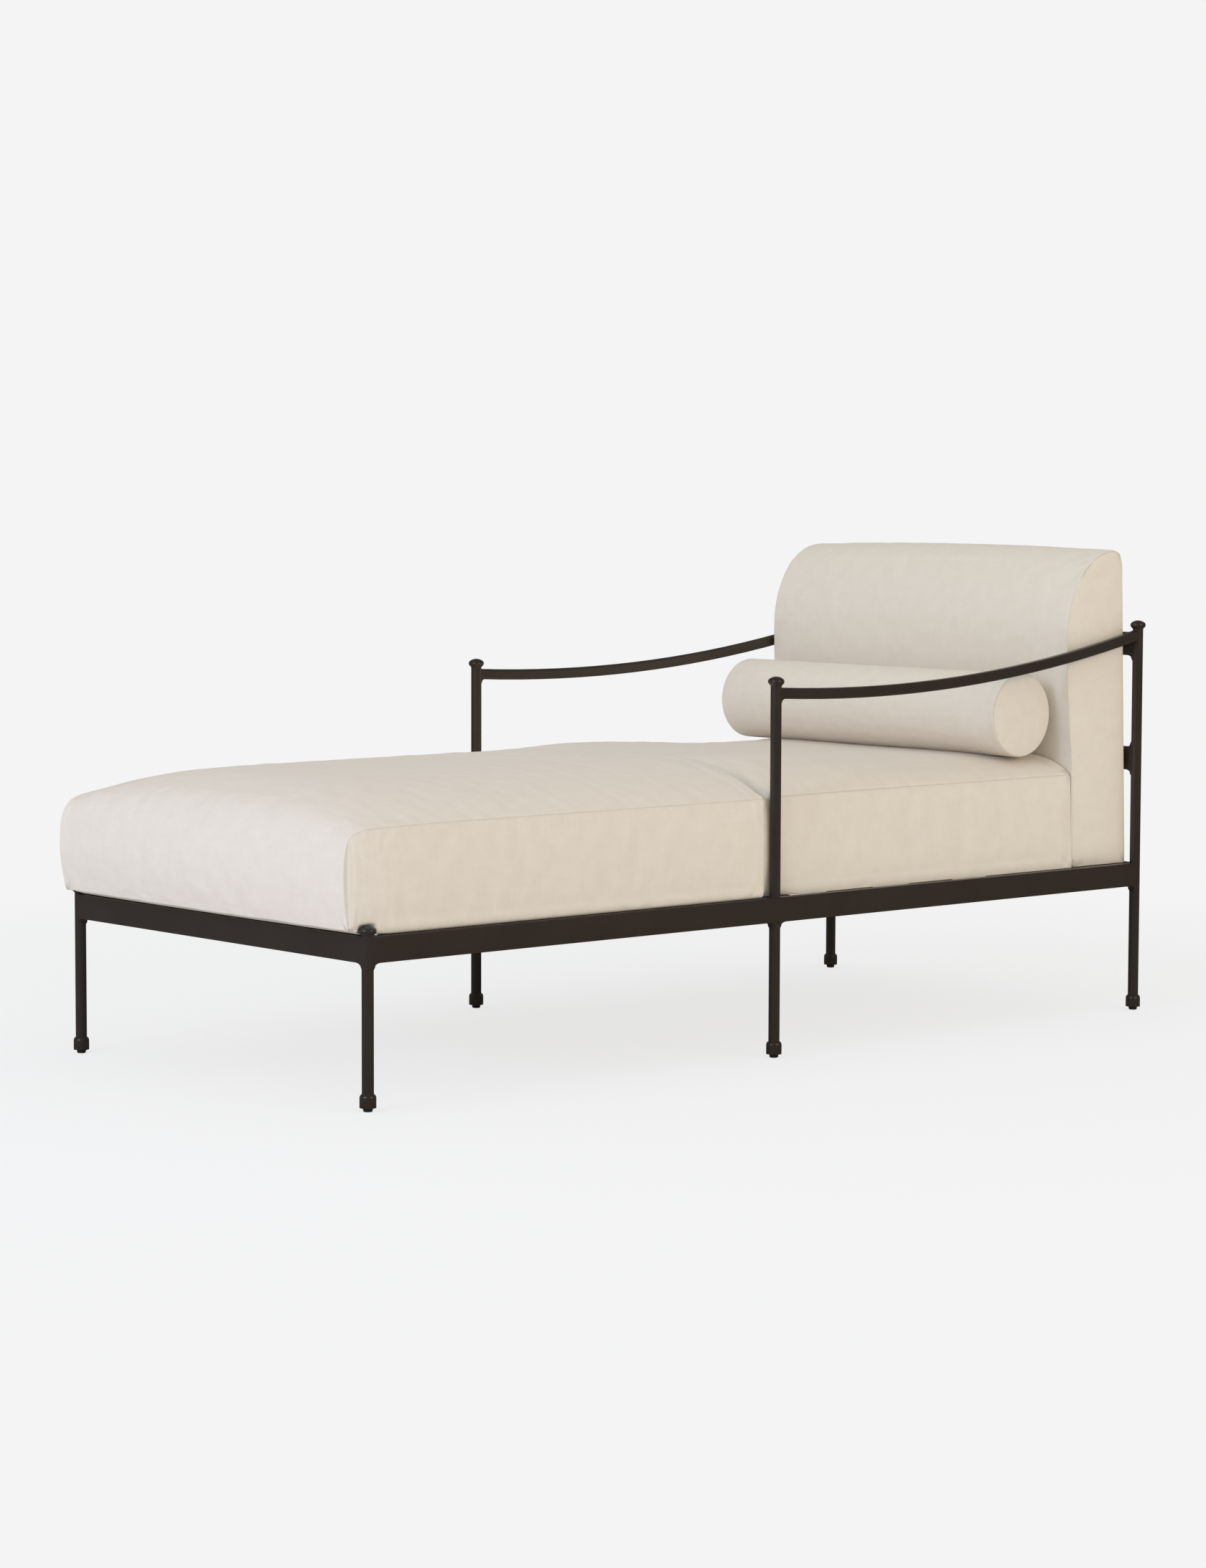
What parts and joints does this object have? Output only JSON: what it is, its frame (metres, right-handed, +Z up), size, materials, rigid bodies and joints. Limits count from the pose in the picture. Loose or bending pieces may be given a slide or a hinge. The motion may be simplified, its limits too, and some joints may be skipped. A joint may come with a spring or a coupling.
{
  "type": "chaise longue",
  "caption": "Open-arm chaise longue: a welded tube frame with bowed arm rails, mushroom finials and cup feet, a seat cushion, a back cushion and a round bolster",
  "frame": {"origin": "on the floor, under the middle of the part's bounding box", "axes": "+Y runs from the foot end to the head end, +X from the sitter's right to left when the sitter faces the foot end, +Z up"},
  "size_m": [0.7814, 1.7592, 0.8141],
  "materials": {
    "powder_coat": "satin dark bronze powder coat on welded steel",
    "glide_plastic": "matt black moulded plastic",
    "stud_steel": "zinc plated steel",
    "seat_cloth": "warm ivory slub linen weave over foam",
    "back_cloth": "warm ivory slub linen weave over foam",
    "bolster_cloth": "warm ivory slub linen weave over foam"
  },
  "bodies": {
    "frame": {"foot_rail": "powder_coat", "head_rail": "powder_coat", "side_rail_left": "powder_coat", "side_rail_right": "powder_coat", "leg_foot_left": "powder_coat", "leg_foot_right": "powder_coat", "leg_middle_left": "powder_coat", "leg_middle_right": "powder_coat", "leg_head_left": "powder_coat", "leg_head_right": "powder_coat", "arm_post_left": "powder_coat", "arm_post_right": "powder_coat", "arm_rail_left": "powder_coat", "arm_rail_right": "powder_coat", "back_rail_upper": "powder_coat", "back_rail_lower": "powder_coat", "finial_foot_left": "powder_coat", "finial_foot_right": "powder_coat", "finial_middle_left": "powder_coat", "finial_middle_right": "powder_coat", "finial_head_left": "powder_coat", "finial_head_right": "powder_coat", "foot_cup_foot_left": "powder_coat", "foot_cup_foot_right": "powder_coat", "foot_cup_middle_left": "powder_coat", "foot_cup_middle_right": "powder_coat", "foot_cup_head_left": "powder_coat", "foot_cup_head_right": "powder_coat", "slat_1": "powder_coat", "slat_2": "powder_coat", "slat_3": "powder_coat", "slat_4": "powder_coat", "slat_5": "powder_coat", "slat_6": "powder_coat", "slat_7": "powder_coat", "slat_8": "powder_coat", "slat_9": "powder_coat"},
    "glide_foot_left": {"glide_pad_foot_left": "glide_plastic", "glide_stud_foot_left": "stud_steel"},
    "glide_foot_right": {"glide_pad_foot_right": "glide_plastic", "glide_stud_foot_right": "stud_steel"},
    "glide_middle_left": {"glide_pad_middle_left": "glide_plastic", "glide_stud_middle_left": "stud_steel"},
    "glide_middle_right": {"glide_pad_middle_right": "glide_plastic", "glide_stud_middle_right": "stud_steel"},
    "glide_head_left": {"glide_pad_head_left": "glide_plastic", "glide_stud_head_left": "stud_steel"},
    "glide_head_right": {"glide_pad_head_right": "glide_plastic", "glide_stud_head_right": "stud_steel"},
    "seat": {"seat_cushion": "seat_cloth"},
    "back": {"back_cushion": "back_cloth"},
    "roll": {"bolster": "bolster_cloth"}
  },
  "joints": [
    {"name": "glide_foot_left_level", "type": "slide", "parent": "frame", "child": "glide_foot_left", "axis": [0, 0, -1], "range_m": [0, 0.01]},
    {"name": "glide_foot_right_level", "type": "slide", "parent": "frame", "child": "glide_foot_right", "axis": [0, 0, -1], "range_m": [0, 0.01]},
    {"name": "glide_middle_left_level", "type": "slide", "parent": "frame", "child": "glide_middle_left", "axis": [0, 0, -1], "range_m": [0, 0.01]},
    {"name": "glide_middle_right_level", "type": "slide", "parent": "frame", "child": "glide_middle_right", "axis": [0, 0, -1], "range_m": [0, 0.01]},
    {"name": "glide_head_left_level", "type": "slide", "parent": "frame", "child": "glide_head_left", "axis": [0, 0, -1], "range_m": [0, 0.01]},
    {"name": "glide_head_right_level", "type": "slide", "parent": "frame", "child": "glide_head_right", "axis": [0, 0, -1], "range_m": [0, 0.01]},
    {"name": "seat_lift", "type": "slide", "parent": "frame", "child": "seat", "axis": [0, -0.1736, 0.9848], "range_m": [0, 0.15]},
    {"name": "back_lift", "type": "slide", "parent": "frame", "child": "back", "axis": [0, 0, 1], "range_m": [0, 0.3]},
    {"name": "bolster_lift", "type": "slide", "parent": "seat", "child": "roll", "axis": [0, -0.342, 0.9397], "range_m": [0, 0.25]}
  ]
}
